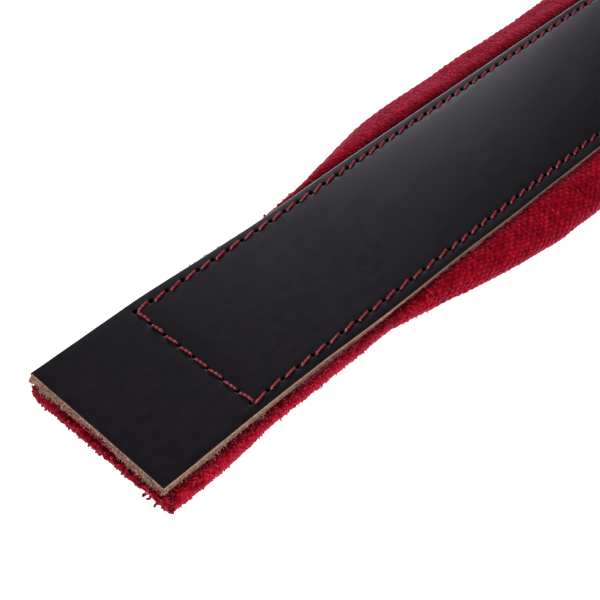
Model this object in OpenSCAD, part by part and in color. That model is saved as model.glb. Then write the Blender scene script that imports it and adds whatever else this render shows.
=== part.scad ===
// A padded hand strap for an instrument: a flat leather band sewn on top of a
// knitted sleeve that is flat at both ends and filled with foam in the middle.
// The strap lies along X with the leather on top, and the padding's underside
// is at z = 0.

/* [Leather] */
// Length of the strap, from cut end to cut end
strap_length = 500; // [460:1:560]
// Width of the leather band
leather_width = 50; // [46:0.5:56]
// Thickness of the leather
leather_thickness = 2.4; // [1.6:0.1:3.2]

/* [Sleeve and padding] */
// Width of the sleeve where it lies flat at the ends
neck_width = 54; // [52:0.5:58]
// Width of the padded middle
pad_width = 76; // [68:0.5:84]
// Thickness of the padded middle, without the leather
pad_thickness = 9.8; // [8.4:0.1:13]
// Thickness of one layer of the knitted fabric
fabric_wall = 2.4; // [1.8:0.1:2.6]
// Distance from a cut end to where the padding starts to swell
swell_start = 84; // [78:1:90]
// Distance from a cut end to where the padding is at its full width
swell_end = 162; // [140:1:175]
// How far the seam pulls the padding's underside up
tuck_depth = 3; // [1:0.1:3]

/* [Seam] */
// Diameter of the sewing thread
thread = 0.85; // [0.6:0.05:1]
// Distance from a cut end to the seam that crosses the strap
end_tab = 33.7; // [28:0.1:38]
// Distance from the leather's +Y edge to the seam
margin_left = 2.8; // [2.4:0.1:4]
// Distance from the leather's -Y edge to the seam
margin_right = 3.9; // [2.4:0.1:4]
// Length of a stitch over the flat ends
neck_pitch = 5.8; // [5:0.1:6]
// Stitches of that length at each end of a side
neck_stitches = 14; // [10:1:16]
// Stitches along the padded stretch of a side
pad_stitches = 58; // [50:1:64]
// Stitches across the strap at each end
cross_stitches = 8; // [6:1:10]
// Depth of the groove that the seam is sunk in
groove_depth = 0.4; // [0.1:0.05:0.5]

/* [Hidden] */

half_length = strap_length / 2;
leather_top = pad_thickness + leather_thickness;

// The gap that is left inside the flat ends of the sleeve
neck_gap = 0.2;
neck_thickness = 2 * fabric_wall + neck_gap;

// Steps along each swelling stretch, and around each rounded side
swell_steps = 12;
side_steps = 8;

// Half of a tuck's flat floor, and of its mouth over the ends and the padding
tuck_floor = 1.2;
tuck_mouth_neck = 1.6;
tuck_mouth_pad = 5.5;

// Play between the foam and the sleeve, and how far the foam reaches into the swell
foam_play = 0.1;
foam_start = swell_start + 12;

// Where the seam runs
seam_half_length = half_length - end_tab;
seam_left = leather_width / 2 - margin_left;
seam_right = -leather_width / 2 + margin_right;
pad_seam = 2 * (seam_half_length - neck_stitches * neck_pitch);
side_stitches = 2 * neck_stitches + pad_stitches;
slit_half_length = 1.6 * thread;
slit_half_width = 0.6 * thread;
groove_half_width = 0.95 * thread;
groove_floor = leather_top - groove_depth;

// Needle holes along a side, and across an end
side_holes = [for (i = [0 : side_stitches]) side_hole(i)];
cross_holes = [for (i = [0 : cross_stitches])
    seam_right + i * (seam_left - seam_right) / cross_stitches];

function mix(a, b, t) = a + (b - a) * t;

function side_hole(i) =
    i <= neck_stitches
    ? -seam_half_length + i * neck_pitch
    : i >= side_stitches - neck_stitches
    ? seam_half_length - (side_stitches - i) * neck_pitch
    : (i - neck_stitches - pad_stitches / 2) * pad_seam / pad_stitches;

// How far the sleeve has opened at x: 0 over the flat ends, 1 at full width
function swell(x) =
    let (along = (half_length - abs(x) - swell_start) / (swell_end - swell_start))
    sin(90 * pow(min(max(along, 0), 1), 1.08));

// Height of the sleeve's underside, and of the tuck's floor under the seam
function underside(x) = (pad_thickness - neck_thickness) * (1 - swell(x));
function seam_floor(x) = underside(x) + tuck_depth * swell(x);

// Height at which the two threads lock into each other
function lock_height(x) = (pad_thickness + seam_floor(x)) / 2;

// Outline of the sleeve across the strap at x, pulled in by an inset
function section(x, inset) =
    let (
        half = mix(neck_width, pad_width, swell(x)) / 2 - inset,
        bottom = underside(x) + inset,
        top = pad_thickness - inset,
        radius = (top - bottom) / 2,
        middle = (top + bottom) / 2,
        mouth = mix(tuck_mouth_neck, tuck_mouth_pad, swell(x)),
        floor = seam_floor(x) + inset
    )
    concat(
        [for (i = [0 : side_steps]) let (a = -90 + 180 * i / side_steps)
            [half - radius + radius * cos(a), middle + radius * sin(a)]],
        [for (i = [0 : side_steps]) let (a = 90 + 180 * i / side_steps)
            [-half + radius + radius * cos(a), middle + radius * sin(a)]],
        [[seam_right - mouth, bottom], [seam_right - tuck_floor, floor],
         [seam_right + tuck_floor, floor], [seam_right + mouth, bottom],
         [seam_left - mouth, bottom], [seam_left - tuck_floor, floor],
         [seam_left + tuck_floor, floor], [seam_left + mouth, bottom]]
    );

// Places along X for a loft that starts at a given distance from the cut ends
function stations(start) =
    let (
        run = swell_end - swell_start,
        left = [for (i = [0 : swell_steps]) -half_length + swell_start + i * run / swell_steps],
        inside = concat([-half_length + start], [for (x = left) if (x > -half_length + start) x]),
        count = len(inside)
    )
    concat(inside, [for (i = [1 : count]) -inside[count - i]]);

// A closed solid through the sleeve's outlines at the given places
module loft(places, inset) {
    ring = len(section(0, inset));
    last = len(places) - 1;
    points = [for (x = places) for (p = section(x, inset)) [x, p[0], p[1]]];
    sides = [for (i = [0 : last - 1]) for (j = [0 : ring - 1]) let (k = (j + 1) % ring)
        [i * ring + j, (i + 1) * ring + j, (i + 1) * ring + k, i * ring + k]];
    near_cap = [for (j = [0 : ring - 1]) j];
    far_cap = [for (j = [ring - 1 : -1 : 0]) last * ring + j];
    polyhedron(points, concat([near_cap, far_cap], sides));
}

// Everything that repeats at each needle hole of the seam
module along_seam() {
    for (y = [seam_left, seam_right]) for (x = side_holes) translate([x, y]) children();
    for (x = [-seam_half_length, seam_half_length]) for (y = cross_holes)
        translate([x, y]) rotate(90) children();
}

module slit() {
    polygon([[-slit_half_length, 0], [-thread, -slit_half_width], [thread, -slit_half_width],
             [slit_half_length, 0], [thread, slit_half_width], [-thread, slit_half_width]]);
}

// Side view of a row of stitches: a bar over each stitch, and a tooth down each
// hole, through the fabric and the foam, to where the threads lock. side is 1 for
// the thread on top and -1 for the one below.
module stitch_row(holes, faces, locks, side) {
    last = len(holes) - 1;
    dip = 0.5 * thread;
    shoulder = 0.7 * thread;
    outer = [for (i = [0 : last - 1]) each [
        [holes[i], faces[i] - side * dip],
        [holes[i] + shoulder, faces[i] + side * shoulder],
        [holes[i] + 2 * shoulder, faces[i] + side * thread],
        [holes[i + 1] - 2 * shoulder, faces[i + 1] + side * thread],
        [holes[i + 1] - shoulder, faces[i + 1] + side * shoulder]]];
    inner = [for (i = [last : -1 : 0]) each [
        if (i < last) [holes[i] + thread, faces[i]],
        [holes[i] + thread, locks[i]],
        [holes[i] - thread, locks[i]],
        if (i > 0) [holes[i] - thread, faces[i]]]];
    polygon(concat([[holes[0] - thread, faces[0] - side * dip]], outer,
                   [[holes[last], faces[last] - side * dip],
                    [holes[last] + thread, faces[last] - side * dip]], inner));
}

// One thread, all the way round the seam
module thread_loop(side_faces, cross_faces, side) {
    side_locks = [for (x = side_holes) lock_height(x)];
    cross_locks = [for (y = cross_holes) lock_height(seam_half_length)];
    for (y = [seam_left, seam_right]) translate([0, y, 0]) rotate([90, 0, 0])
        linear_extrude(thread, center = true) stitch_row(side_holes, side_faces, side_locks, side);
    for (x = [-seam_half_length, seam_half_length]) translate([x, 0, 0]) rotate([90, 0, 90])
        linear_extrude(thread, center = true) stitch_row(cross_holes, cross_faces, cross_locks, side);
}

// The seam's rectangle, grown by a distance on each side
module seam_rectangle(grow) {
    translate([-seam_half_length - grow, seam_right - grow])
        square([2 * (seam_half_length + grow), seam_left - seam_right + 2 * grow]);
}

module leather_strap() {
    color([0.09, 0.08, 0.10]) difference() {
        translate([0, 0, pad_thickness]) linear_extrude(leather_thickness) difference() {
            square([strap_length, leather_width], center = true);
            along_seam() slit();
        }
        translate([0, 0, groove_floor]) linear_extrude(2 * groove_depth) difference() {
            seam_rectangle(groove_half_width);
            seam_rectangle(-groove_half_width);
        }
    }
}

module fabric_sleeve() {
    color([0.62, 0.05, 0.12])
    difference() {
        loft(stations(0), 0);
        loft(stations(-1), fabric_wall);
    }
}

module foam_core() {
    color([0.86, 0.80, 0.62])
    loft(stations(foam_start), fabric_wall + foam_play);
}

module needle_thread() {
    color([0.80, 0.10, 0.18])
    thread_loop([for (x = side_holes) groove_floor], [for (y = cross_holes) groove_floor], 1);
}

module bobbin_thread() {
    color([0.74, 0.09, 0.16])
    thread_loop([for (x = side_holes) seam_floor(x)],
                [for (y = cross_holes) seam_floor(seam_half_length)], -1);
}

leather_strap();
fabric_sleeve();
foam_core();
needle_thread();
bobbin_thread();
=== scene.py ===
"""A padded leather strap for an instrument, lying flat, seen from above one of its cut ends."""

import math

import bpy
import numpy as np
from mathutils import Matrix, Vector


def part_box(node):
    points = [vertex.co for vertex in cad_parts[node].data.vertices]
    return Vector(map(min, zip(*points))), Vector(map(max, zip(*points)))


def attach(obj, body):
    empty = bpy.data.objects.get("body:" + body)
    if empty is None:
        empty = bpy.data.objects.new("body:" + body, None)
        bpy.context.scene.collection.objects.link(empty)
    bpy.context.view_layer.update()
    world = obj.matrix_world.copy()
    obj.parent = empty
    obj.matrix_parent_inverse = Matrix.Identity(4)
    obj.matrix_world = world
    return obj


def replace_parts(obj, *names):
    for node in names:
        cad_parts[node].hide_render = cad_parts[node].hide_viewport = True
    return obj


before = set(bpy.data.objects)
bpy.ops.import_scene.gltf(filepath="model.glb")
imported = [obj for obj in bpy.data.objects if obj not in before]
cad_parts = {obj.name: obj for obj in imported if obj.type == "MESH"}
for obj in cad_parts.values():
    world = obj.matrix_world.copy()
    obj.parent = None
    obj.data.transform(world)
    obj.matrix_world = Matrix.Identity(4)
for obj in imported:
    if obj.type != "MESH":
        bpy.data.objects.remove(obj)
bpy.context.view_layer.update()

# Everything below is worked out in millimetres and scaled to metres where a mesh is made.
MM = 0.001


def box_mm(node):
    """Lowest and highest corners of a node, in millimetres."""
    low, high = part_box(node)
    return np.array(low) / MM, np.array(high) / MM


# ---------------------------------------------------------------- sizes

leather_low, leather_high = box_mm("leather_strap")
sleeve_high = box_mm("fabric_sleeve")[1]
foam_high = box_mm("foam_core")[1]
needle_low, needle_high = box_mm("needle_thread")

HALF_LENGTH = leather_high[0]
LEATHER_HALF = leather_high[1]
LEATHER_TOP = leather_high[2]
LEATHER_BOTTOM = leather_low[2]
PAD_HALF = sleeve_high[1]
PAD_TOP = sleeve_high[2]
FOAM_HALF_LENGTH = foam_high[0]

# Sizes that the boxes don't give, as the CAD model has them
GROOVE = 0.4
NECK_HALF = 27.0
FABRIC = 2.4
NECK_THICKNESS = 5.0
SWELL_START = 84.0
SWELL_END = 162.0
TUCK_DEPTH = 3.0
NECK_PITCH = 5.8
NECK_STITCHES = 14
PAD_STITCHES = 58
CROSS_STITCHES = 8

# Where the seam runs: the thread's box goes past the outermost holes by a thread's thickness.
THREAD_ROOM = needle_high[2] - LEATHER_TOP + GROOVE
SEAM_X = needle_high[0] - THREAD_ROOM
SEAM_LEFT = needle_high[1] - THREAD_ROOM
SEAM_RIGHT = needle_low[1] + THREAD_ROOM

# The leather's dyed grain layer, and the round of its upper edge
GRAIN = 0.5
CORNER = 0.35

# How far the leather crowns between the seams, and how far its edges sink
CROWN_NECK = 0.22
CROWN_PAD = 0.75
EDGE_SINK_NECK = 0.22
EDGE_SINK_PAD = 0.12

# The raw fibre under the grain, and the hidden faces that close both layers inside: their depth,
# and an inset that takes them in to the strap's middle line
FLESH_TOP = LEATHER_TOP - GRAIN + 0.05
TRAY = 2.05
MIDDLE = 25

# The knit's diagonal ribs and the beads along them, in turns per mm along X and across the cloth
RIB = (0.33, -0.44)
BEAD = (0.25, 0.78)

# How far the cloth stands up beside the leather
NECK_RISE = 1.1
PAD_RISE = 2.3

# The stitches: their thickness, how far they lean, and the gap from one to the next
THREAD_RADIUS = 0.37
SLANT_NECK = math.radians(10.5)
SLANT_PAD = math.radians(15.5)
SLANT_CROSS = math.radians(7)
STITCH_GAP = 1.2

rng = np.random.default_rng(7)


# ---------------------------------------------------------------- shape functions

def mix(a, b, t):
    return a + (b - a) * t


def step(low, high, x):
    """0 below low, 1 above high, and a smooth rise between them."""
    t = np.clip((x - low) / (high - low), 0, 1)
    return t * t * (3 - 2 * t)


def bump(x, width):
    """1 at x = 0, falling smoothly to nothing a few widths away."""
    return np.exp(-((x / width) ** 2))


def noise(x, y, size, seed):
    """Smooth value noise from -1 to 1, with cells of the given size in mm."""
    u, v = np.broadcast_arrays(np.asarray(x, float) / size, np.asarray(y, float) / size)
    i, j = np.floor(u).astype(np.int64), np.floor(v).astype(np.int64)
    fu, fv = u - i, v - j
    fu, fv = fu * fu * (3 - 2 * fu), fv * fv * (3 - 2 * fv)
    table = np.random.default_rng(seed).uniform(-1, 1, (256, 256))
    near = mix(table[i % 256, j % 256], table[(i + 1) % 256, j % 256], fu)
    far = mix(table[i % 256, (j + 1) % 256], table[(i + 1) % 256, (j + 1) % 256], fu)
    return mix(near, far, fv)


def swell(x):
    """How far the sleeve has opened: 0 over the flat ends, 1 over the padding."""
    along = (HALF_LENGTH - np.abs(x) - SWELL_START) / (SWELL_END - SWELL_START)
    return np.sin(0.5 * np.pi * np.clip(along, 0, 1) ** 1.08)


def underside(x):
    return (PAD_TOP - NECK_THICKNESS) * (1 - swell(x))


def seat(x, y):
    """How far the leather rises at a point: a low crown between the seams, and edges that sink."""
    inside = step(-1.5, 7.0, SEAM_X - np.abs(x))
    across = np.minimum(np.abs(y) / SEAM_LEFT, 1)
    crown = mix(CROWN_NECK, CROWN_PAD, swell(x)) * inside * (1 - across ** 2.3)
    sink = mix(EDGE_SINK_NECK, EDGE_SINK_PAD, swell(x)) * step(0.9, 1.05, np.abs(y) / LEATHER_HALF)
    return crown - sink + 0.05 * noise(x, y, 60, 5)


def side_cut(x, left):
    """How far outside its straight line the knife went, along the leather's left or right side."""
    tip = HALF_LENGTH - np.abs(x)
    # The left cut swings out near the end, and in again where the padding starts.
    out_left = 0.48 - 0.33 * step(42, 62, tip) + 0.45 * bump(tip - 35, 20) - 0.4 * bump(tip - 85, 16)
    # The right cut runs inside its line near the end, and comes back to it before the padding.
    out_right = -0.45 - 0.35 * bump(tip - 45, 26) + 0.35 * bump(tip, 18)
    out_right += 0.40 * step(58, 84, tip) - 0.25 * bump(tip - 118, 14)
    wander = 0.12 * noise(x, 50 * left, 38, 3) + 0.05 * noise(x, 20 * left, 6, 4)
    return np.where(left, out_left, out_right) + wander


def creases(x, y):
    """Faint long creases that the sheen shows up."""
    soft = 0.020 * noise(x + 1.2 * y, 4.5 * y - 1.1 * x, 30, 8)
    return soft + 0.010 * noise(x + 0.8 * y, 4 * y - 0.7 * x, 11, 9)


# ---------------------------------------------------------------- seam layout

def side_holes():
    """Places along X of the needle holes of one long side."""
    neck = np.arange(NECK_STITCHES) * NECK_PITCH
    middle = SEAM_X - NECK_STITCHES * NECK_PITCH
    pad = np.linspace(-middle, middle, PAD_STITCHES + 1)
    return np.concatenate([-SEAM_X + neck, pad, (SEAM_X - neck)[::-1]])


def seam_runs():
    """The four straight runs of the seam, each as an array of hole centres (x, y)."""
    xs = side_holes()
    ys = np.linspace(SEAM_RIGHT, SEAM_LEFT, CROSS_STITCHES + 1)[::-1]
    sides = [np.column_stack([xs, np.full(len(xs), y)]) for y in (SEAM_LEFT, SEAM_RIGHT)]
    ends = [np.column_stack([np.full(len(ys), x), ys]) for x in (-SEAM_X, SEAM_X)]
    return sides + ends


def directions(run):
    """Unit vectors along a run of the seam and across it."""
    along = (run[-1] - run[0]) / np.linalg.norm(run[-1] - run[0])
    return along, np.array([-along[1], along[0]])


def slant(run, x):
    """How far anticlockwise of the seam a stitch of this run lies at x."""
    if run[0, 0] == run[-1, 0]:
        return SLANT_CROSS + 0 * x
    return mix(SLANT_NECK, SLANT_PAD, swell(x))


# ---------------------------------------------------------------- mesh helpers

def make_piece(name, verts_mm, quads, material, attributes=None):
    """A mesh object that rides on the strap, with a float attribute per vertex for each of attributes."""
    verts = np.asarray(verts_mm, float) * MM
    mesh = bpy.data.meshes.new(name)
    mesh.vertices.add(len(verts))
    mesh.vertices.foreach_set("co", verts.astype(np.float32).ravel())
    mesh.loops.add(quads.size)
    mesh.loops.foreach_set("vertex_index", quads.astype(np.int32).ravel())
    mesh.polygons.add(len(quads))
    mesh.polygons.foreach_set("loop_start", np.arange(0, quads.size, 4, dtype=np.int32))
    mesh.update(calc_edges=True)
    mesh.validate()
    mesh.shade_smooth()
    for key, values in (attributes or {}).items():
        layer = mesh.attributes.new(key, "FLOAT", "POINT")
        layer.data.foreach_set("value", np.asarray(values, np.float32).ravel())
    mesh.materials.append(material)
    piece = bpy.data.objects.new(name, mesh)
    bpy.context.scene.collection.objects.link(piece)
    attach(piece, "root")
    return piece


def grid_faces(rows, columns, wrap=False):
    """Quads of a grid of points numbered row by row. wrap joins the last column to the first."""
    i = np.arange(rows - 1)[:, None] * columns
    j = np.arange(columns if wrap else columns - 1)[None, :]
    k = (j + 1) % columns
    corners = (i + j, i + columns + j, i + columns + k, i + k)
    return np.stack(np.broadcast_arrays(*corners), -1).reshape(-1, 4)


def join(parts):
    """Several (vertices, quads) pairs as one."""
    starts = np.cumsum([0] + [len(verts) for verts, _ in parts[:-1]])
    quads = [quads + start for (_, quads), start in zip(parts, starts)]
    return np.concatenate([verts for verts, _ in parts]), np.concatenate(quads)


def lengths_along(points):
    """Distance from the first point to each, along axis 1."""
    steps = np.linalg.norm(np.diff(points, axis=1), axis=2)
    return np.concatenate([np.zeros((len(points), 1)), np.cumsum(steps, 1)], 1)


def unit(vectors):
    return vectors / (np.linalg.norm(vectors, axis=-1, keepdims=True) + 1e-9)


def frames_along(paths, side):
    """The direction and two normals at every point of many paths, each (count, points, 3)."""
    tangent = unit(np.gradient(paths, axis=1))
    first = unit(np.cross(tangent, side))
    return tangent, first, np.cross(tangent, first)


def tubes(paths, radii, sides, side=(0.31, 0.94, 0.14)):
    """Round tubes along many paths at once. side is any direction that no path follows."""
    count, points, _ = paths.shape
    side = np.broadcast_to(np.asarray(side, float), (count, 3))[:, None, :]
    tangent, first, second = frames_along(paths, side)
    # An extra ring at each end, a little further out and far narrower, rounds the tube off.
    repeat = np.concatenate([[0], np.arange(points), [points - 1]])
    places = paths[:, repeat].copy()
    widths = np.broadcast_to(radii, (count, points))[:, repeat].copy()
    places[:, 0] -= 0.5 * tangent[:, 0] * widths[:, :1]
    places[:, -1] += 0.5 * tangent[:, -1] * widths[:, -1:]
    widths[:, [0, -1]] *= 0.1
    turn = (np.arange(sides) * 2 * np.pi / sides)[:, None]
    ring = first[:, repeat, None] * np.cos(turn) + second[:, repeat, None] * np.sin(turn)
    verts = (places[:, :, None] + ring * widths[:, :, None, None]).reshape(-1, 3)
    one = grid_faces(points + 2, sides, wrap=True)[:, ::-1]
    starts = np.arange(count) * (points + 2) * sides
    return verts, (one[None] + starts[:, None, None]).reshape(-1, 4)


def hairs(roots, aims, lengths, radii, points=5, sides=3, curl=0.35, droop=0.3, taper=0.7):
    """Short bent fibres, each a thin tube that starts a little inside its root."""
    t = np.linspace(-0.12, 1, points)[None, :, None]
    bend = rng.normal(0, curl, (len(roots), 1, 3))
    bend[:, :, 2] -= droop
    paths = roots[:, None] + lengths[:, None, None] * (unit(aims)[:, None] * t + bend * t * np.abs(t))
    widths = radii[:, None] * (1 - taper * np.clip(t[:, :, 0], 0, 1) ** 2)
    return tubes(paths, widths, sides)


def tufts(roots, aims, lengths, radii, points=7, sides=6):
    """Short thick ends of yarn, each a bent tube that is rounded at both ends."""
    t = np.linspace(0, 1, points)[None, :, None]
    bend = rng.normal(0, 0.3, (len(roots), 1, 3))
    paths = roots[:, None] + lengths[:, None, None] * (unit(aims)[:, None] * t + bend * t * t)
    widths = radii[:, None] * np.sin(np.pi * np.linspace(0.1, 0.9, points)) ** 0.4
    return tubes(paths, widths, sides)


# ---------------------------------------------------------------- materials

class Nodes:
    """A short way to build a material's nodes."""

    def __init__(self, name):
        self.material = bpy.data.materials.new(name)
        self.material.use_nodes = True
        self.tree = self.material.node_tree
        self.shader = self.tree.nodes["Principled BSDF"]

    def fill(self, socket, value):
        """Links the socket to another one, or sets it to a plain value."""
        if isinstance(value, bpy.types.NodeSocket):
            self.tree.links.new(value, socket)
        else:
            socket.default_value = value

    def add(self, kind, inputs=None, **settings):
        node = self.tree.nodes.new("ShaderNode" + kind)
        for key, value in settings.items():
            setattr(node, key, value)
        for key, value in (inputs or {}).items():
            self.fill(node.inputs[key], value)
        return node

    def link(self, source, socket):
        self.tree.links.new(source, self.shader.inputs[socket])

    def set(self, **values):
        for key, value in values.items():
            self.shader.inputs[key.replace("_", " ")].default_value = value

    def place(self, scale):
        """Object coordinates in millimetres, stretched by scale."""
        where = self.add("TexCoord").outputs["Object"]
        return self.add("Mapping", {"Vector": where, "Scale": tuple(s / MM for s in scale)}).outputs[0]

    def noise(self, scale, detail=4.0, roughness=0.6):
        inputs = {"Vector": self.place(scale), "Scale": 1.0, "Detail": detail, "Roughness": roughness}
        return self.add("TexNoise", inputs).outputs["Fac"]

    def ramp(self, source, stops):
        node = self.add("ValToRGB", {"Fac": source})
        elements = node.color_ramp.elements
        while len(elements) < len(stops):
            elements.new(0.5)
        for element, (at, colour) in zip(elements, stops):
            element.position = at
            element.color = (*colour, 1.0)
        return node.outputs["Color"]

    def mix(self, factor, a, b):
        """A mix of two colours. On this node they are inputs 6 and 7, and output 2 is the result."""
        node = self.add("Mix", data_type="RGBA")
        self.fill(node.inputs[0], factor)
        for socket, colour in ((6, a), (7, b)):
            if not isinstance(colour, bpy.types.NodeSocket):
                colour = (*colour, 1.0)
            self.fill(node.inputs[socket], colour)
        return node.outputs[2]

    def math(self, operation, a, b=0.0, clamp=False):
        return self.add("Math", {0: a, 1: b}, operation=operation, use_clamp=clamp).outputs[0]

    def spread(self, source, low, high, out_low, out_high):
        inputs = {"Value": source, "From Min": low, "From Max": high,
                  "To Min": out_low, "To Max": out_high}
        return self.add("MapRange", inputs).outputs[0]

    def attribute(self, name):
        return self.add("Attribute", attribute_name=name).outputs["Fac"]

    def bump(self, height, distance_mm, strength=1.0):
        node = self.add("Bump", {"Height": height, "Distance": distance_mm * MM, "Strength": strength})
        self.link(node.outputs[0], "Normal")


def leather_material():
    """Dyed black grain, and raw tan fibre where the `cut` attribute says that a knife has been.

    `hole` is 1 where painted shade darkens a needle hole. `line` lightens the fibre: it is 1 on the pale
    line under the grain, and more along the left edge, where a painted highlight makes that line paler
    still.
    """
    n = Nodes("black_leather")
    cut, hole, line = n.attribute("cut"), n.attribute("hole"), n.attribute("line")
    black = n.ramp(n.noise((0.03, 0.05, 0.05), 3.0), [
        (0.3, (0.0021, 0.0016, 0.0027)),
        (0.7, (0.0037, 0.0029, 0.0045))])
    # Painted shade: the needle holes are coloured near-black.
    black = n.mix(hole, black, (0.0008, 0.0006, 0.0008))
    fibre = n.noise((1.9, 1.9, 1.0), 6.0, 0.85)
    tan = n.ramp(fibre, [
        (0.42, (0.030, 0.011, 0.006)),
        (0.47, (0.12, 0.048, 0.028)),
        (0.53, (0.29, 0.128, 0.082)),
        (0.60, (0.52, 0.29, 0.21))])
    tan = n.mix(n.math("MULTIPLY", line, 0.75, clamp=True), tan, (0.48, 0.28, 0.21))
    # Painted highlight: where `line` goes over 1, along the left edge, the fibre is coloured a pale grey.
    tan = n.mix(n.math("SUBTRACT", line, 1.0, clamp=True), tan, (0.64, 0.55, 0.53))
    n.link(n.mix(cut, black, tan), "Base Color")
    smooth = n.spread(n.noise((0.25, 0.4, 0.4), 4.0), 0.3, 0.7, 0.31, 0.39)
    raw = n.math("MULTIPLY", n.math("MAXIMUM", cut, hole), 0.5)
    n.link(n.math("ADD", smooth, raw, clamp=True), "Roughness")
    # Painted shade: a needle hole and the slopes round it are coloured near-black, and made metallic so that
    # they reflect no more than that colour.
    n.link(hole, "Metallic")
    pebbles = {"Vector": n.place((2.1, 2.5, 2.5)), "Scale": 1.0}
    cells = n.add("TexVoronoi", pebbles, feature="DISTANCE_TO_EDGE")
    grain = n.math("MULTIPLY", n.math("MINIMUM", cells.outputs[0], 0.1), 1.2)
    pores = n.math("MULTIPLY", n.noise((4.0, 4.0, 4.0), 5.0), 0.3)
    rough = n.math("MULTIPLY", fibre, n.math("MULTIPLY", cut, 4.0))
    n.bump(n.math("ADD", n.math("ADD", grain, pores), rough), 0.05)
    n.set(Specular_IOR_Level=0.42, Specular_Tint=(0.97, 0.88, 1.0, 1.0))
    return n.material


def knit_material():
    """Crimson yarn, as light as the `loop` attribute says, which holds painted shade as well as the yarn's
    own tone, with a sheen that shows along the outline.
    """
    n = Nodes("red_knit")
    loop = n.attribute("loop")
    fine = n.noise((2.4, 2.4, 2.4), 5.0, 0.75)
    patch = n.noise((0.3, 0.3, 0.3), 4.0)
    level = n.math("ADD", loop, n.math("MULTIPLY", n.math("SUBTRACT", fine, 0.5), 1.1), clamp=True)
    yarn = n.ramp(level, [
        (0.0, (0.032, 0.0002, 0.0010)),
        (0.3, (0.130, 0.0009, 0.0040)),
        (0.65, (0.260, 0.0022, 0.0100)),
        (1.0, (0.550, 0.0090, 0.0300))])
    yarn = n.mix(n.spread(patch, 0.4, 0.7, 0.0, 0.2), yarn, (0.20, 0.0016, 0.007))
    n.link(yarn, "Base Color")
    n.set(Roughness=0.95, Sheen_Weight=0.9, Sheen_Roughness=0.26, Specular_IOR_Level=0.03)
    n.set(Sheen_Tint=(1.0, 0.20, 0.36, 1.0))
    n.bump(fine, 0.22, 0.9)
    return n.material


def thread_material():
    n = Nodes("red_thread")
    wisps = n.noise((2.5, 2.5, 2.5), 4.0)
    n.link(n.ramp(wisps, [
        (0.3, (0.10, 0.002, 0.006)),
        (0.5, (0.24, 0.005, 0.014)),
        (0.7, (0.42, 0.018, 0.030))]), "Base Color")
    n.set(Roughness=0.31, Specular_IOR_Level=0.8)
    n.bump(n.noise((6.0, 6.0, 6.0), 3.0), 0.04)
    return n.material


def fibre_material(name, dark, light, sheen_tint):
    """Loose fibres, which go from dark to light along their lengths and from one to the next."""
    n = Nodes(name)
    n.link(n.ramp(n.noise((2.2, 2.2, 2.2), 4.0), [(0.42, dark), (0.60, light)]), "Base Color")
    n.set(Roughness=0.85, Sheen_Weight=0.2, Sheen_Tint=(*sheen_tint, 1.0), Specular_IOR_Level=0.05)
    n.bump(n.noise((7.0, 7.0, 7.0), 3.0), 0.03)
    return n.material


def foam_material():
    n = Nodes("foam")
    cells = n.add("TexVoronoi", {"Vector": n.place((1.4, 1.4, 1.4)), "Scale": 1.0}).outputs["Distance"]
    n.link(n.ramp(cells, [(0.0, (0.42, 0.34, 0.2)), (0.6, (0.78, 0.68, 0.46))]), "Base Color")
    n.set(Roughness=0.95)
    n.bump(cells, 0.3)
    return n.material


# ---------------------------------------------------------------- leather band

# Spacing of the points round the leather's outline
EDGE_STEP = 0.25


def both_sides(offsets):
    """Offsets on both sides of 0, and 0 itself."""
    return np.concatenate([-np.array(offsets[::-1]), [0], offsets])


def dense_line(centres, offsets, low, high, coarse, fine=0.12):
    """Sorted places from low to high: offsets round each centre, and gaps from fine to coarse."""
    places = np.append(np.asarray(centres)[:, None] + offsets, [low, high])
    places = np.unique(np.round(places[(places >= low) & (places <= high)], 3))
    kept = [places[0]]
    for place in places[1:]:
        last, gap = kept[-1], place - kept[-1]
        if gap < fine and place < high:
            continue
        pieces = int(gap // coarse) + 1
        kept.extend(last + gap * k / pieces for k in range(1, pieces + 1))
    return np.array(kept)


def hand_cut(x, y):
    """Moves points near the leather's edges to where the knife went."""
    near_side = step(0.80, 1.0, np.abs(y) / LEATHER_HALF)
    near_end = step(0.97, 1.0, np.abs(x) / HALF_LENGTH)
    out_x = 0.55 - 0.40 * y / LEATHER_HALF + 0.10 * noise(y, 9 * np.sign(x), 17, 6)
    return x + np.sign(x) * near_end * out_x, y + np.sign(y) * near_side * side_cut(x, y > 0)


def seam_relief(x, y):
    """How far the seam presses the leather down at a point, and how far painted shade darkens its needle
    holes there.
    """
    down = np.zeros_like(x)
    dark = np.zeros_like(x)
    reach = 4
    for run in seam_runs():
        along, across = directions(run)
        places = (run - run[0]) @ along
        u = (x - run[0, 0]) * along[0] + (y - run[0, 1]) * along[1]
        v = (x - run[0, 0]) * across[0] + (y - run[0, 1]) * across[1]
        inside = (np.abs(v) < reach) & (u > -reach) & (u < places[-1] + reach)
        u, v = u[inside], v[inside]
        after = np.clip(np.searchsorted(places, u), 1, len(places) - 1)
        nearest = np.where(u - places[after - 1] < places[after] - u, places[after - 1], places[after])
        d = u - nearest
        lean = v - np.tan(slant(run, x[inside])) * d
        ends = step(-3, 0, u) * step(-3, 0, places[-1] - u)
        # A shallow groove under the thread, and at each hole a pit along the stitch in a wider pucker.
        groove = 0.05 * bump(v, 1.1) * ends
        pit = bump(d, 0.48) * bump(lean, 0.32)
        pucker = 0.03 * bump(d, 1.3) * bump(v, 1.5)
        down[inside] = np.maximum(down[inside], groove + pucker + 1.1 * pit)
        # Painted shade: the pit and the slopes round it are marked to be coloured near-black.
        dark[inside] = np.maximum(dark[inside], step(0.004, 0.05, pit))
    return down, dark


def inset(points, distance, up=0.0):
    """Points of the leather's outline, moved in from its edges by a distance, and up."""
    shrink = [1 - distance / HALF_LENGTH, 1 - distance / LEATHER_HALF, 1]
    return points * shrink + [0, 0, up]


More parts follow.
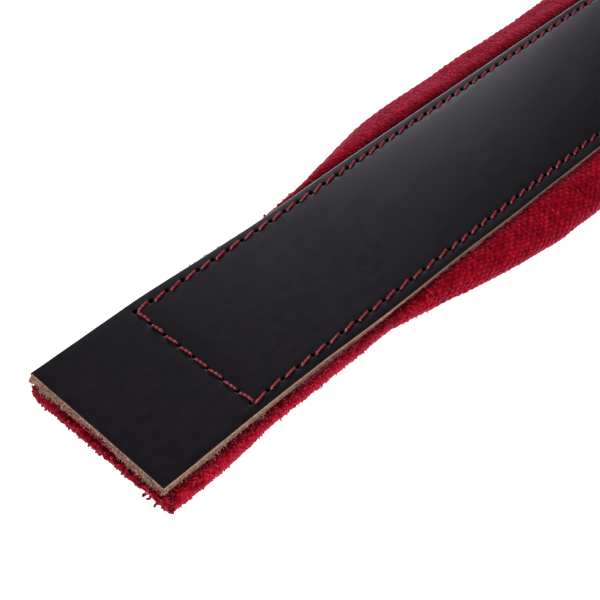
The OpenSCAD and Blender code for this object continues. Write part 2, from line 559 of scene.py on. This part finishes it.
def grain_shell():
    """The dyed top of the leather and its rounded edge, closed underneath."""
    runs = seam_runs()
    near_hole = both_sides([0.25, 0.5, 0.7, 0.9, 1.15, 1.5])
    near_line = both_sides([0.2, 0.4, 0.6, 0.85, 1.1, 1.4, 1.9, 2.6])
    end_x, end_y = HALF_LENGTH - CORNER, LEATHER_HALF - CORNER
    xs = dense_line(np.append(runs[0][:, 0], [-SEAM_X, SEAM_X]), near_hole, -end_x, end_x, 2.0)
    ys = np.unique(np.concatenate([
        dense_line(runs[2][:, 1], near_hole, -end_y, end_y, 1.2),
        dense_line([SEAM_LEFT, SEAM_RIGHT], near_line, -end_y, end_y, 50)]))
    ys = ys[np.append(True, np.diff(ys) > 0.1)]
    # The rounded edge and the side below it are extra rows and columns round the flat top.
    turn = np.linspace(0, 0.5 * np.pi, 6)[1:]
    drop = np.append(CORNER * (1 - np.cos(turn)), GRAIN)
    out = np.append(CORNER * np.sin(turn), CORNER)
    x, y = np.meshgrid(np.concatenate([-end_x - out[::-1], xs, end_x + out]),
                       np.concatenate([-end_y - out[::-1], ys, end_y + out]), indexing="ij")
    x_drop = np.concatenate([drop[::-1], np.zeros(len(xs)), drop])
    y_drop = np.concatenate([drop[::-1], np.zeros(len(ys)), drop])
    fall = np.maximum(x_drop[:, None], y_drop[None, :])
    sunk, dark = seam_relief(x, y)
    face = 1 - step(0.0, 0.3, fall)
    z = LEATHER_TOP + seat(x, y) + (creases(x, y) - sunk) * face - fall
    x, y = hand_cut(x, y)
    rows, columns = x.shape
    top = np.stack([x, y, z], -1).reshape(-1, 3)
    # Rings that start at the shell's lower edge close it underneath.
    rim = np.concatenate([
        np.arange(columns), np.arange(1, rows) * columns + columns - 1,
        (rows - 1) * columns + np.arange(columns - 2, -1, -1), np.arange(rows - 2, 0, -1) * columns])
    edge, down = top[rim], GRAIN - TRAY
    rings = [edge, inset(edge, 1.0), inset(edge, 1.3, down), inset(edge, MIDDLE, down)]
    numbers = [rim] + [len(top) + k * len(rim) + np.arange(len(rim)) for k in range(3)]
    under = [np.stack([a, np.roll(a, -1), np.roll(b, -1), b], -1) for a, b in zip(numbers, numbers[1:])]
    verts = np.concatenate([top] + rings[1:])
    hidden = np.zeros(3 * len(rim))
    # Painted highlight: along the left edge the pale raw colour starts higher up, on the rounded corner,
    # where light catches the edge.
    painted_highlight_edge = (y_drop > 0) & (np.arange(columns) > columns / 2)
    cut = np.concatenate([np.where(painted_highlight_edge, step(0.0, 0.02, fall), step(0.09, 0.17, fall)).ravel(), hidden])
    hole = np.concatenate([dark.ravel(), hidden])
    # The raw edge is pale, paler still along the left edge, where that is a painted highlight, and least
    # across the ends.
    line = mix(1 + painted_highlight_edge, 0.35, step(0.0, 0.05, x_drop[:, None] - y_drop))
    line = np.concatenate([line.ravel(), hidden])
    return (verts, np.concatenate([grid_faces(rows, columns)] + under)), cut, hole, line * cut


def edge_path(spacing):
    """Points round the leather's outline, the outward direction at each, and the distance along."""
    radius = 0.4
    inner = np.array([HALF_LENGTH, LEATHER_HALF]) - radius
    spots, normals = [], []
    for quarter, corner in enumerate(((1, 1), (-1, 1), (-1, -1), (1, -1))):
        turn = np.radians(90 * quarter + np.linspace(0, 90, 6))
        arc = np.column_stack([np.cos(turn), np.sin(turn)])
        length = 2 * inner[quarter % 2]
        run = np.arange(spacing, length - 0.5 * spacing, spacing)[:, None]
        ahead = np.array([-arc[-1, 1], arc[-1, 0]])
        spots += [inner * corner + radius * arc, inner * corner + radius * arc[-1] + run * ahead]
        normals += [arc, np.broadcast_to(arc[-1], (len(run), 2))]
    spots, normals = np.concatenate(spots), np.concatenate(normals)
    return spots, normals, lengths_along(spots[None])[0]


def raggedness(spots, normals):
    """How far the loose fibre stands out at each point of the leather's outline."""
    tip = HALF_LENGTH - np.abs(spots[:, 0])
    at_end = np.abs(normals[:, 0])
    from_left, from_right = LEATHER_HALF - spots[:, 1], LEATHER_HALF + spots[:, 1]
    end = -0.15 + 0.35 * bump(from_left, 9) + 0.7 * bump(from_left, 1.6) + 0.15 * bump(from_right, 12)
    return mix(0.05 + 0.2 * bump(tip, 26), end, at_end)


def flesh_shell():
    """The raw fibre under the grain, rough and flared where it was cut, as a slab."""
    spots, normals, along = edge_path(EDGE_STEP)
    at_end = np.abs(normals[:, 0])
    # The rows go down the side, from depth 0 to 1, and the last one turns in underneath.
    depth = np.append(np.linspace(0, 1, 13), 1.1)[:, None]
    clumps = 0.8 + 0.5 * noise(along, 0, 6, 61) + 0.4 * noise(along, 0, 1.4, 62)
    ragged = raggedness(spots, normals) * clumps
    level = depth * (FLESH_TOP - LEATHER_BOTTOM)
    rough = 0.13 * noise(along, level, 0.8, 63) + 0.10 * noise(along, level, 0.4, 64)
    out = -0.04 + ragged * depth ** 1.5 + rough * step(0.0, 0.25, depth) * mix(0.6, 1.4, at_end)
    out[-1] -= 0.45
    x = spots[:, 0] + normals[:, 0] * out
    y = spots[:, 1] + normals[:, 1] * out
    droop = 0.5 * ragged * depth ** 4
    z = FLESH_TOP + seat(spots[:, 0], spots[:, 1]) - level - droop
    x, y = hand_cut(x, y)
    rows = np.stack([x, y, z], -1)
    # Hidden rows dip under the grain layer at the top, and close the slab at the bottom.
    dip = 0.4 - TRAY + GRAIN
    tray = [inset(rows[:1], MIDDLE, dip), inset(rows[:1], 1.1, dip), inset(rows[:1], 0.9)]
    under = [inset(rows[-1:], 0.9), inset(rows[-1:], MIDDLE)]
    rows = np.concatenate(tray + [rows] + under)
    line = np.zeros(rows.shape[:2])
    line[len(tray):-len(under)] = 1 - step(0.04, 0.14, depth + 0.05 * noise(along, 0, 1.1, 65))
    line = mix(mix(0.2, 1, line), 0.35 * line, at_end)
    return (rows.reshape(-1, 3), grid_faces(len(rows), len(spots), wrap=True)), line.ravel()


def make_leather(material):
    grain, cut, hole, pale = grain_shell()
    flesh, line = flesh_shell()
    verts, quads = join([grain, flesh])
    return make_piece("leather_band", verts, quads, material, {
        "cut": np.append(cut, np.ones(len(line))),
        "hole": np.append(hole, np.zeros(len(line))),
        "line": np.append(pale, line)})


def make_leather_fibres(material):
    """Fibres that hang out of the leather's cut edges, longest at the ends."""
    spots, normals, along = edge_path(EDGE_STEP)
    tip = HALF_LENGTH - np.abs(spots[:, 0])
    at_end = np.abs(normals[:, 0])
    clump = np.clip(0.55 + 0.9 * noise(along, 0, 5.5, 71), 0.12, 1.5)
    share = clump * mix(0.08 + 0.35 * bump(tip, 70), 1.7, at_end)
    parts = []
    for count, low, high, radius in ((3900, 0.3, 0.9, 0.05), (1000, 0.8, 1.8, 0.085)):
        pick = rng.choice(len(spots), count, p=share / share.sum())
        size = raggedness(spots, normals)[pick] + 0.25
        depth = rng.uniform(0.25, 1.0, count) ** 0.7
        x = spots[pick, 0] + normals[pick, 0] * 0.55 * size * depth ** 1.7 + rng.uniform(-0.12, 0.12, count)
        y = spots[pick, 1] + normals[pick, 1] * 0.55 * size * depth ** 1.7 + rng.uniform(-0.12, 0.12, count)
        x, y = hand_cut(x, y)
        z = mix(LEATHER_TOP - GRAIN, LEATHER_BOTTOM - 0.1, depth) + seat(spots[pick, 0], spots[pick, 1])
        aims = np.column_stack([normals[pick], -0.9 * depth - 0.15]) + rng.normal(0, 0.38, (count, 3))
        long = rng.uniform(low, high, count) * np.clip(0.35 + size, 0.3, 1.25)
        parts.append(hairs(np.stack([x, y, z], -1), aims, long, rng.uniform(0.7, 1.3, count) * radius))
    parts.append(whiskers())
    verts, quads = join(parts)
    make_piece("leather_fibres", verts, quads, material)


def whiskers():
    """Long loose fibres at one corner of each cut end, the left one as seen from that end."""
    count = 24
    end = np.repeat([-1.0, 1.0], count // 2)
    x = end * (HALF_LENGTH + rng.uniform(-0.5, 0.3, count))
    y = -end * (LEATHER_HALF - rng.uniform(0.0, 1.6, count))
    z = rng.uniform(LEATHER_BOTTOM - 0.2, LEATHER_BOTTOM + 0.9, count)
    aims = np.column_stack([end, -0.35 * end, np.full(count, -0.75)]) + rng.normal(0, 0.25, (count, 3))
    lengths, radii = rng.uniform(0.9, 2.0, count), np.full(count, 0.05)
    return hairs(np.stack([x, y, z], -1), aims, lengths, radii, points=6)


# ---------------------------------------------------------------- knitted sleeve

# Points round the sleeve on each side, along its underside and over its top, and the step along X
SIDE_ROWS = 84
BOTTOM_ROWS = 90
TOP_ROWS = 12
SLEEVE_STEP = 0.35

# How far into the sleeve from its cut ends its inner face is made
HEM_DEPTH = 6


def resample(points, count):
    """points (n, k, 2) along each outline, as count points evenly spaced along it."""
    out = np.empty((len(points), count, 2))
    for row, outline, at in zip(out, points, lengths_along(points)):
        where = np.linspace(0, at[-1], count)
        row[:, 0] = np.interp(where, at, outline[:, 0])
        row[:, 1] = np.interp(where, at, outline[:, 1])
    return out


def sleeve_top(x, y):
    """Height of the sleeve's upper face: pressed down by the leather, and standing up beside it."""
    away = np.abs(y)
    pressed = seat(x, np.minimum(away, LEATHER_HALF)) * (1 - step(LEATHER_HALF, LEATHER_HALF + 4, away))
    beside = mix(NECK_RISE * step(32, 54, HALF_LENGTH - np.abs(x)), PAD_RISE, swell(x))
    rise = beside * step(-0.95, 0.25, away - LEATHER_HALF - side_cut(x, y > 0))
    return PAD_TOP - 0.12 + pressed + rise * (1 - step(LEATHER_HALF + 2.5, LEATHER_HALF + 10, away))


def side_outline(x, side):
    """One rounded side of the sleeve, from under the leather down to the underside."""
    s = swell(x)[:, None]
    tip = HALF_LENGTH - np.abs(x)[:, None]
    # The left side is drawn in at the cut end and the right side let out, and both swell slowly.
    if side > 0:
        loose = -2.4 * (1 - step(2, 34, tip)) - 1.85 * bump(tip - 108, 22) - 0.35 * bump(tip - 125, 12)
    else:
        loose = 1.2 * (1 - step(14, 40, tip)) - 0.15 - 0.35 * s - 0.7 * bump(tip - 125, 35)
    half = mix(NECK_HALF, PAD_HALF, s) + loose + 0.2 * noise(x, 30 * side, 30, 21)[:, None]
    low = underside(x)[:, None] - 1.6 * (1 - step(20, 44, tip))
    radius = (PAD_TOP - low) / 2
    flat = mix(LEATHER_HALF - 4, half - radius, np.linspace(0, 1, 17)[:-1])
    turn = np.radians(np.linspace(90, -90, 25))
    y = np.concatenate([flat, half - radius + radius * np.cos(turn)], 1)
    lowered = np.concatenate([0 * flat, radius * (1 - np.sin(turn))], 1)
    top = sleeve_top(x[:, None], y)
    fade = 1 - step(0.0, 1.0, lowered / (2 * radius))
    z = PAD_TOP - lowered + (top - PAD_TOP) * fade
    return resample(np.stack([side * y, z], -1), SIDE_ROWS)


def sleeve_outline(x):
    """Outline at each x: down the left side, along the underside, up the right side and over the top."""
    left, right = side_outline(x, 1), side_outline(x, -1)
    s = swell(x)[:, None]
    y = mix(left[:, -1:, 0], right[:, -1:, 0], np.linspace(0, 1, BOTTOM_ROWS + 2)[1:-1])
    tuck = sum(bump(y - seam, mix(1.2, 3.2, s)) for seam in (SEAM_LEFT, SEAM_RIGHT))
    tip = HALF_LENGTH - np.abs(x)[:, None]
    z = mix(left[:, -1:, 1], right[:, -1:, 1], 0.5) + (TUCK_DEPTH * s + 0.5 * step(20, 34, tip)) * tuck
    under = np.stack([y, z], -1)
    y = mix(right[:, :1, 0], left[:, :1, 0], np.linspace(0, 1, TOP_ROWS + 2)[1:-1])
    over = np.stack([y, sleeve_top(x[:, None], y)], -1)
    return np.concatenate([left, under, right[:, ::-1], over], 1)


def outward(outline):
    """Unit normals of closed outlines, pointing out of the sleeve."""
    ahead = np.roll(outline, -2, axis=1) - np.roll(outline, 2, axis=1)
    return unit(np.stack([-ahead[:, :, 1], ahead[:, :, 0]], -1))


def cloth_place(outline):
    """Distance across the cloth at each point of the outlines, positive on the strap's left half."""
    around = lengths_along(outline)
    middle = SIDE_ROWS + BOTTOM_ROWS // 2
    whole = around[:, -1:]
    return np.where(np.arange(outline.shape[1]) < middle, around, around - whole)


def pile(x):
    """How brushed up the cloth is: 1 over the flat ends, and 0 where the padding stretches it."""
    return 1 - step(76, 112, HALF_LENGTH - np.abs(x))


def knit_relief(x, across):
    """Height of the knit's beaded diagonal ribs in mm, and how light its yarn is, from 0 to 1: darker in the
    hollows between ribs and beads, which is painted shade, and lighter or darker at random.

    Where the pile is brushed up, the ribs give way to loose wool.
    """
    x = x[:, None]
    flat = pile(x)
    rib = RIB[0] * x + RIB[1] * across + 0.26 * noise(x, across, 5, 31) + 0.10 * noise(x, across, 1.8, 32)
    bead = BEAD[0] * x + BEAD[1] * across + 0.30 * noise(x, across, 4, 33) + 0.10 * noise(x, across, 1.6, 36)
    ridge = 0.5 + 0.5 * np.cos(2 * np.pi * rib)
    beads = 0.5 + 0.5 * np.cos(2 * np.pi * bead)
    # Painted shade: the yarn's colour follows the ribs' height, darker in the hollows between ribs and
    # beads.
    knitted = 0.35 + 0.26 * ridge * beads + 0.06 * ridge + 0.08 * beads
    wool = 0.34 * noise(2.2 * x, 0.7 * across, 1.1, 34) + 0.22 * noise(x, across, 0.75, 35)
    level = mix(knitted, 0.55, flat) + wool * mix(0.75, 1.1, flat)
    height = mix(knitted + 0.38 * wool, level, flat)
    return 0.16 + (height - 0.45) * mix(0.85, 0.36, flat), np.clip(level, 0, 1)


def end_recess(y, z):
    """How far short of HALF_LENGTH the sleeve stops. It is negative low down, where it goes past that."""
    high = step(PAD_TOP - 4.6, PAD_TOP - 0.2, z)
    notch = 0.6 * bump(y + 17.8, 1.5)
    return mix(-0.5, 0.75, high) + notch + 0.25 * noise(y, 5 * z, 2.2, 42)


def painted_end_shade(y, z):
    """How much of the yarn's colour is kept on the cut end at a point: painted shade darkens it under the
    leather, and not lower down.
    """
    return 1 - 0.9 * step(PAD_TOP - 3.4, PAD_TOP - 1.6, z + 0.8 * noise(y, 0, 3.0, 45))


def knit_surface():
    """Points of the sleeve's face, the outward direction at each, and how light its yarn is."""
    x = np.linspace(-HALF_LENGTH, HALF_LENGTH, int(2 * HALF_LENGTH / SLEEVE_STEP) + 1)
    outline = sleeve_outline(x)
    across = cloth_place(outline)
    relief, level = knit_relief(x, across)
    # Painted shade: the yarn's colour is darkened close beside the leather, where its shadow falls.
    leather_edge = LEATHER_HALF + side_cut(x[:, None], outline[:, :, 0] > 0)
    shade = bump(np.maximum(np.abs(outline[:, :, 0]) - leather_edge, 0), 1.7) * step(6, 8, outline[:, :, 1])
    level = level * (1 - shade) - 0.4 * shade ** 2
    normal = outward(outline)
    soft = 0.22 * noise(x[:, None], across, 9, 41)
    moved = outline + normal * (relief - 0.2 + soft)[:, :, None]
    # The underside rests on the floor, and its ribs are pressed flat there.
    moved[:, :, 1] = np.maximum(moved[:, :, 1], 0.02 + 0.1 * relief)
    places = np.concatenate([np.broadcast_to(x[:, None, None], (*level.shape, 1)), moved], 2)
    # Only the last few millimetres are moved along X, to where the cloth was cut.
    near_end = bump(HALF_LENGTH - np.abs(places[:, :, 0]), 2.6)
    places[:, :, 0] -= np.sign(places[:, :, 0]) * near_end * end_recess(places[:, :, 1], places[:, :, 2])
    normal = np.concatenate([np.zeros((*level.shape, 1)), normal], 2)
    return places, normal, level


def sleeve_ends(places, normal, first):
    """The rough cut faces of the two ends and a short stretch of the sleeve's inside.

    The new points are numbered from first on. The last ring of each end lies inside the sleeve.
    """
    rows = places.shape[1]
    verts, quads, levels = [], [], []
    for index, sign in ((0, -1), (len(places) - 1, 1)):
        ring, back = places[index], normal[index]
        at = index * rows + np.arange(rows)
        for share in (0.12, 0.3, 0.5, 0.7, 0.88, 1.0, 1.0):
            row = ring - back * FABRIC * share
            lump = noise(ring[:, 1] + 3 * share, ring[:, 2] + FABRIC * share, 0.8, 43)
            bulge = 0.35 * math.sin(math.pi * share) + 0.3 * lump
            row[:, 0] = sign * (HALF_LENGTH - end_recess(row[:, 1], row[:, 2]) + bulge)
            # The cut face's yarn is lighter or darker at random and darker towards the sleeve's inside;
            # painted shade darkens it under the leather.
            level = 0.4 + 0.6 * lump - 0.2 * share
            levels.append(np.clip(level * painted_end_shade(row[:, 1], row[:, 2]), 0, 1))
            verts.append(row)
            now = first + np.arange(rows)
            strip = np.stack([at, now, np.roll(now, -1), np.roll(at, -1)], -1)
            quads.append(strip[:, ::-1] if sign < 0 else strip)
            at, first = now, first + rows
        verts[-1][:, 0] -= sign * HEM_DEPTH
    return np.concatenate(verts), np.concatenate(quads), np.concatenate(levels)


def make_sleeve(material, places, normal, level):
    face = grid_faces(*level.shape, wrap=True)
    verts, quads, levels = sleeve_ends(places, normal, level.size)
    verts = np.concatenate([places.reshape(-1, 3), verts])
    return make_piece("knit_sleeve", verts, np.concatenate([face, quads]), material,
                      {"loop": np.concatenate([level.ravel(), levels])})


def side_spots(side, places, weight, count):
    """Random (column, row) places on one rounded side of the sleeve, by a weight for each column."""
    first = 0 if side > 0 else SIDE_ROWS + BOTTOM_ROWS
    clear = LEATHER_HALF + side_cut(places[:, first:first + SIDE_ROWS, 0], side > 0)
    chance = weight[:, None] * (np.abs(places[:, first:first + SIDE_ROWS, 1]) > clear)
    # The cut ends have tufts of their own.
    chance[:4] = chance[-4:] = 0
    spot = rng.choice(chance.size, count, p=(chance / chance.sum()).ravel())
    return spot // SIDE_ROWS, first + spot % SIDE_ROWS


def make_fuzz(material, places, normal):
    """Fine fibres that stand off the sleeve's rounded sides, a piece for each side."""
    count = 10600
    for name, side in (("left_fuzz", 1), ("right_fuzz", -1)):
        column, row = side_spots(side, places, 0.6 + 0.9 * pile(places[:, 0, 0]), count)
        aims = 0.8 * normal[column, row] + rng.normal(0, 0.5, (count, 3))
        radii = rng.uniform(0.017, 0.030, count)
        lengths = rng.uniform(0.3, 0.85, count)
        verts, quads = hairs(places[column, row], aims, lengths, radii, points=2, curl=0.3, droop=0.1)
        verts[:, 2] = np.maximum(verts[:, 2], 0.02)
        make_piece(name, verts, quads, material)


def make_pile(material, places, normal):
    """The brushed pile of the sleeve's flat ends: short tufts that lie down over its rounded sides."""
    count, points, sides = 4500, 4, 4
    for name, side in (("left_pile", 1), ("right_pile", -1)):
        column, row = side_spots(side, places, pile(places[:, 0, 0]) ** 1.5, count)
        out = normal[column, row]
        # The tufts start a little inside the face. Their colour is darker towards their roots, and painted
        # shade darkens it close to the leather.
        roots = places[column, row] - 0.2 * out
        down = np.column_stack([np.zeros(count), side * out[:, 2], -side * out[:, 1]])
        aims = down + 0.3 * out + rng.normal(0, 0.25, (count, 3))
        clump = noise(2 * roots[:, 0], roots[:, 2], 2.4, 44)
        lengths = rng.uniform(0.45, 0.85, count)
        radii = rng.uniform(0.18, 0.30, count)
        verts, quads = tufts(roots, aims, lengths, radii, points, sides)
        level = 0.92 + 0.18 * clump + rng.normal(0, 0.16, count)
        # Painted shade: the tufts' colour is darkened close to the leather, where its shadow falls.
        edge = np.abs(roots[:, 1]) - LEATHER_HALF - side_cut(roots[:, 0], side > 0)
        level *= 1 - bump(edge, 1.4)
        along = np.repeat(np.linspace(-0.22, 0.34, points + 2), sides)
        level = np.clip(level[:, None] + along, 0, 1)
        make_piece(name, verts, quads, material, {"loop": level})


def make_fray(material, places, normal):
    """Tufts and strands of yarn that stand out of the sleeve's cut ends."""
    parts, levels = [], []
    for index, sign in ((0, -1), (len(places) - 1, 1)):
        ring, back = places[index], normal[index]
        for count, make, long, radius in ((1100, tufts, (0.35, 0.72), (0.22, 0.38)),
                                          (300, hairs, (0.4, 0.9), (0.03, 0.045))):
            pick = rng.integers(0, len(ring), count)
            share = rng.uniform(0.0, 1.0, count)[:, None]
            roots = ring[pick] - back[pick] * FABRIC * share
            roots[:, 0] = sign * (HALF_LENGTH - end_recess(roots[:, 1], roots[:, 2]) - 0.15)
            aims = 0.6 * back[pick] * (1 - share) + rng.normal(0, 0.5, (count, 3)) - [0, 0, 0.25]
            aims[:, 0] = sign * rng.uniform(0.0, 0.8, count)
            part = make(roots, aims, rng.uniform(*long, count), rng.uniform(*radius, count))
            # Painted shade darkens these tufts under the leather.
            level = rng.uniform(0.1, 1.1, count) * painted_end_shade(roots[:, 1], roots[:, 2])
            parts.append(part)
            levels.append(np.repeat(level, len(part[0]) // count))
        bits = loose_bits(sign)
        parts.append(bits)
        levels.append(np.full(len(bits[0]), 0.5))
    verts, quads = join(parts)
    make_piece("sleeve_fray", verts, quads, material, {"loop": np.concatenate(levels)})


def loose_bits(sign):
    """Short thick yarn ends that hang on thin strands below a cut end."""
    count, points, length = 4, 10, 1.9
    ahead = np.full(count, float(sign))
    y = np.array([-17.9, -19.0, -20.4, -22.0])
    z = np.full(count, PAD_TOP - NECK_THICKNESS - 1)
    roots = np.column_stack([ahead * (HALF_LENGTH + 0.2), y, z])
    aims = np.column_stack([ahead, rng.normal(0, 0.5, count), rng.uniform(-0.5, -0.3, count)])
    t = np.linspace(0, 1, points)
    kinks = rng.normal(0, 0.08, (count, points, 3))
    paths = roots[:, None] + length * unit(aims)[:, None] * t[:, None] + kinks
    thick = step(0.35, 0.5, t) * (1 - step(0.85, 1.0, t))
    return tubes(paths, 0.12 + 0.22 * thick, 6)


def make_foam(material):
    """The foam block, which fills the sleeve where it is swollen."""
    x = np.linspace(-FOAM_HALF_LENGTH, FOAM_HALF_LENGTH, 260)
    outline = sleeve_outline(x)
    # The foam fits inside the cloth with a little play, and needs fewer points.
    play = 0.3
    outline = (outline - outward(outline) * (FABRIC + play))[:, ::3]
    relief = 0.12 * noise(x[:, None], outline[:, :, 0] + 3 * outline[:, :, 1], 2.0, 81)
    outline[:, :, 1] += relief
    verts = np.concatenate([np.broadcast_to(x[:, None, None], (*relief.shape, 1)), outline], 2)
    caps = np.stack([np.broadcast_to(verts[end].mean(0), verts[end].shape) for end in (0, -1)])
    verts = np.concatenate([caps[:1], verts, caps[1:]])
    quads = grid_faces(len(verts), verts.shape[1], wrap=True)
    return make_piece("foam_pad", verts.reshape(-1, 3), quads, material)


# ---------------------------------------------------------------- threads

def twisted(paths, side, radius, sides, pitch=2.8):
    """Two plies laid round each path, one turn in every pitch."""
    _, first, second = frames_along(paths, np.broadcast_to(side, (len(paths), 3))[:, None, :])
    start = rng.uniform(0, 2 * np.pi, (len(paths), 1))
    parts = []
    for ply in (0, np.pi):
        turn = (start + ply + 2 * np.pi * lengths_along(paths) / pitch)[:, :, None]
        middle = paths + 0.45 * radius * (first * np.cos(turn) + second * np.sin(turn))
        parts.append(tubes(middle, np.full(middle.shape[:2], 0.64 * radius), sides, side))
    return join(parts)


def stitches(face, facing, rings, sides, radius):
    """All stitches on one face of the seam. face(x, y) is the height of the surface.

    facing is 1 for the stitches on top and -1 for those underneath.
    """
    parts = []
    for run in seam_runs():
        along, across = directions(run)
        start, end = run[:-1], run[1:]
        count = len(start)
        pitch = np.linalg.norm(end - start, axis=1)[:, None]
        t = np.linspace(0, 1, rings)[None]
        lean = np.tan(slant(run, start[:, :1]) + rng.normal(0, math.radians(1.8), (count, 1)))
        near = 0.5 * STITCH_GAP + rng.normal(0, 0.06, (count, 1))
        far = near.copy()
        near[0] = far[-1] = 0.15
        u = near + (pitch - near - far) * (0.5 - 0.5 * np.cos(np.pi * t)) ** 0.9
        v = (u - pitch / 2) * lean * facing + rng.normal(0, 0.05, (count, 1))
        # The thread bows out where a side seam starts and ends.
        v[[0, -1]] += 0.35 * np.sign(run[0, 1]) * np.sin(np.pi * t)
        # Its ends dive into the holes, and it arches up between them.
        dip = 1.9 * (1 - step(0, 0.24, np.minimum(t, 1 - t))) ** 1.3
        arch = 0.14 * np.sin(np.pi * t) + rng.normal(0, 0.03, (count, 1))
        x = start[:, :1] + along[0] * u + across[0] * v
        y = start[:, 1:] + along[1] * u + across[1] * v
        z = face(x, y) + facing * (radius * 0.7 + arch - dip)
        parts.append(twisted(np.stack([x, y, z], -1), (*across, 0.0), radius, sides))
    return join(parts)


def top_face(x, y):
    return LEATHER_TOP + seat(x, y) - 0.2


def under_face(x, y):
    return underside(x) + TUCK_DEPTH * swell(x) - 0.15


def make_threads(material):
    for name, node, face, facing, rings, sides in (
            ("needle_stitches", "needle_thread", top_face, 1, 22, 8),
            ("bobbin_stitches", "bobbin_thread", under_face, -1, 14, 6)):
        verts, quads = stitches(face, facing, rings, sides, THREAD_RADIUS)
        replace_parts(make_piece(name, verts, quads, material), node)


# ---------------------------------------------------------------- floor, light, camera

# Where the camera stands, in millimetres, and how it is turned
CAMERA_PLACE = (-392.4, -174.1, 297.0)
CAMERA_AZIMUTH = math.radians(-51.37)
CAMERA_ELEVATION = math.radians(46.45)
CAMERA_ROLL = math.radians(5.71)
CAMERA_LENS = 86.2

# Half the floor's width, and how far it lies below the strap, in metres
FLOOR_HALF = 15
FLOOR_DROP = 0.0002


def make_camera():
    """The camera stands over the strap's cut end, looking down along it."""
    data = bpy.data.cameras.new("camera")
    data.lens = CAMERA_LENS
    data.clip_start, data.clip_end = 0.01, 40
    camera = bpy.data.objects.new("camera", data)
    bpy.context.scene.collection.objects.link(camera)
    camera.matrix_world = (
        Matrix.Translation(Vector(CAMERA_PLACE) * MM)
        @ Matrix.Rotation(CAMERA_AZIMUTH, 4, "Z")
        @ Matrix.Rotation(math.pi / 2 - CAMERA_ELEVATION, 4, "X")
        @ Matrix.Rotation(CAMERA_ROLL, 4, "Z"))
    bpy.context.scene.camera = camera


def area_light(name, place, size, power, colour=(1, 1, 1)):
    """A rectangular lamp that points at the strap. place and size are in metres."""
    data = bpy.data.lights.new(name, "AREA")
    data.shape = "RECTANGLE"
    data.size, data.size_y = size
    data.energy = power
    data.color = colour
    light = bpy.data.objects.new(name, data)
    bpy.context.scene.collection.objects.link(light)
    light.location = place
    light.rotation_mode = "QUATERNION"
    light.rotation_quaternion = (-Vector(place)).to_track_quat("-Z", "Y")


def make_studio():
    """A white floor, dim light from all round, a key light in front and weaker ones left and behind."""
    mesh = bpy.data.meshes.new("floor")
    corners = [(x * FLOOR_HALF, y * FLOOR_HALF, 0) for x, y in ((-1, -1), (1, -1), (1, 1), (-1, 1))]
    mesh.from_pydata(corners, [], [(0, 1, 2, 3)])
    floor = bpy.data.objects.new("floor", mesh)
    floor.location.z = -FLOOR_DROP
    bpy.context.scene.collection.objects.link(floor)
    n = Nodes("floor")
    n.set(Base_Color=(0.6, 0.6, 0.6, 1), Roughness=0.9)
    n.set(Emission_Color=(1, 1, 1, 1), Emission_Strength=0.95)
    mesh.materials.append(n.material)
    world = bpy.data.worlds.new("world")
    bpy.context.scene.world = world
    world.use_nodes = True
    background = world.node_tree.nodes["Background"]
    background.inputs["Color"].default_value = (1, 1, 1, 1)
    background.inputs["Strength"].default_value = 0.085
    area_light("key", (-0.65, -0.80, 1.3), (0.9, 0.9), 27)
    area_light("left", (-0.5, 1.3, 0.45), (0.6, 0.6), 9)
    area_light("back", (1.00, 1.00, 0.53), (0.5, 0.3), 4.8, (0.93, 0.93, 1.0))
    bpy.context.scene.view_settings.view_transform = "Standard"


# ---------------------------------------------------------------- the strap

make_camera()
make_studio()
knit = knit_material()
loose_tan = fibre_material("loose_tan", (0.07, 0.026, 0.015), (0.54, 0.34, 0.25), (1.0, 0.8, 0.7))
# The loose fuzz is coloured paler and pinker than the yarn: painted light, for the glow of light through its
# thin fibres along the outline.
loose_red = fibre_material("red_fuzz", (0.36, 0.008, 0.030), (0.64, 0.055, 0.110), (1.0, 0.3, 0.4))

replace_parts(make_leather(leather_material()), "leather_strap")
make_leather_fibres(loose_tan)
surface, facing_out, yarn_level = knit_surface()
sleeve = make_sleeve(knit, surface, facing_out, yarn_level)
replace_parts(sleeve, "fabric_sleeve")
make_fuzz(loose_red, surface, facing_out)
make_pile(knit, surface, facing_out)
make_fray(knit, surface, facing_out)
foam = make_foam(foam_material())
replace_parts(foam, "foam_core")
make_threads(thread_material())
